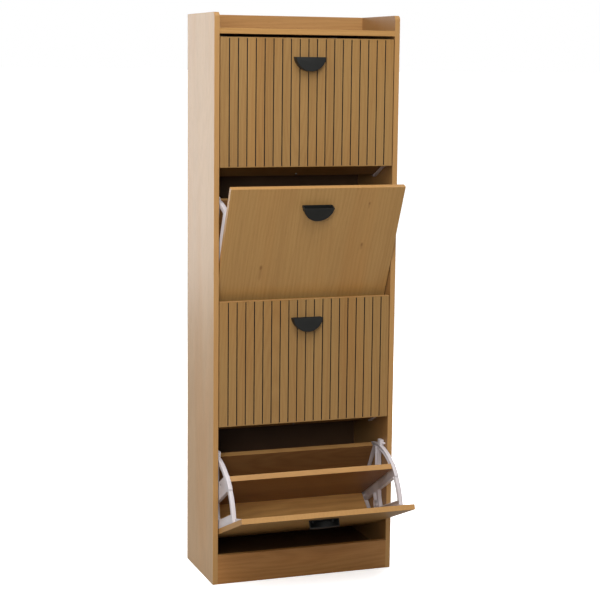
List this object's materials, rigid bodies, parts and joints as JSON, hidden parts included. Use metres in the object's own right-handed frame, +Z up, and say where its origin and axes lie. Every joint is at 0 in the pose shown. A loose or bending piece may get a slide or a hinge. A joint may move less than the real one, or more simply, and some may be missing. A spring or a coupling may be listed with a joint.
{
  "type": "flip-down shoe cabinet",
  "caption": "Tall narrow oak-veneer shoe cabinet whose flip-down drawers tilt out on side pins; each holds a front and a rear row of shoes and has a half-round cup handle.",
  "frame": {"origin": "on the floor, under the middle of the plinth board, 8 mm behind the cabinet's front plane", "axes": "+X to the right as seen from the front, +Y towards the wall behind, +Z up; the closed fronts face -Y"},
  "size_m": [0.577, 0.5094, 1.7],
  "materials": {
    "oak_side": "satin oak foil with fine vertical grain",
    "oak_front": "satin oak foil, grain upright",
    "oak_cross": "satin oak foil, grain from side to side",
    "hardboard": "thin fibreboard with a printed brown face",
    "beech": "bare hardwood",
    "white_plastic": "white moulding, fine satin",
    "black_handle": "matt black coating",
    "zinc": "zinc plated",
    "cam_zinc": "bare die-cast zinc"
  },
  "bodies": {
    "carcass": {"side_panel_left": "oak_side", "side_panel_right": "oak_side", "top_board": "oak_cross", "base_board": "oak_cross", "back_rail": "oak_cross", "plinth_board": "oak_cross", "back_panel_lower": "hardboard", "back_panel_upper": "hardboard", "back_joint_strip": "white_plastic", "back_panel_nails": "zinc", "wall_brackets": "zinc", "wood_dowels": "beech", "cam_bolts": "zinc", "cam_locks": "cam_zinc", "pivot_pins": "zinc", "stop_pegs": "white_plastic"},
    "drawer_1": {"front_panel_1": "oak_front", "handle_1": "black_handle", "handle_screws_1": "zinc", "divider_board_1": "oak_cross", "rear_board_1": "oak_cross", "floor_board_1": "oak_cross", "bracket_left_1": "white_plastic", "bracket_right_1": "white_plastic", "drawer_screws_1": "zinc"},
    "drawer_2": {"front_panel_2": "oak_front", "handle_2": "black_handle", "handle_screws_2": "zinc", "divider_board_2": "oak_cross", "rear_board_2": "oak_cross", "floor_board_2": "oak_cross", "bracket_left_2": "white_plastic", "bracket_right_2": "white_plastic", "drawer_screws_2": "zinc"},
    "drawer_3": {"front_panel_3": "oak_front", "handle_3": "black_handle", "handle_screws_3": "zinc", "divider_board_3": "oak_cross", "rear_board_3": "oak_cross", "floor_board_3": "oak_cross", "bracket_left_3": "white_plastic", "bracket_right_3": "white_plastic", "drawer_screws_3": "zinc"},
    "drawer_4": {"front_panel_4": "oak_front", "handle_4": "black_handle", "handle_screws_4": "zinc", "divider_board_4": "oak_cross", "rear_board_4": "oak_cross", "floor_board_4": "oak_cross", "bracket_left_4": "white_plastic", "bracket_right_4": "white_plastic", "drawer_screws_4": "zinc"}
  },
  "joints": [
    {"name": "drawer_1_tilt", "type": "hinge", "parent": "carcass", "child": "drawer_1", "pos_m": [0, 0.0458, 1.34815], "axis": [1, 0, 0], "range_deg": [0, 68]},
    {"name": "drawer_2_tilt", "type": "hinge", "parent": "carcass", "child": "drawer_2", "pos_m": [0, 0.0458, 0.9629], "axis": [1, 0, 0], "range_deg": [-24, 44]},
    {"name": "drawer_3_tilt", "type": "hinge", "parent": "carcass", "child": "drawer_3", "pos_m": [0, 0.0458, 0.57765], "axis": [1, 0, 0], "range_deg": [0, 68]},
    {"name": "drawer_4_tilt", "type": "hinge", "parent": "carcass", "child": "drawer_4", "pos_m": [0, 0.0458, 0.1924], "axis": [1, 0, 0], "range_deg": [-68, 0]}
  ]
}
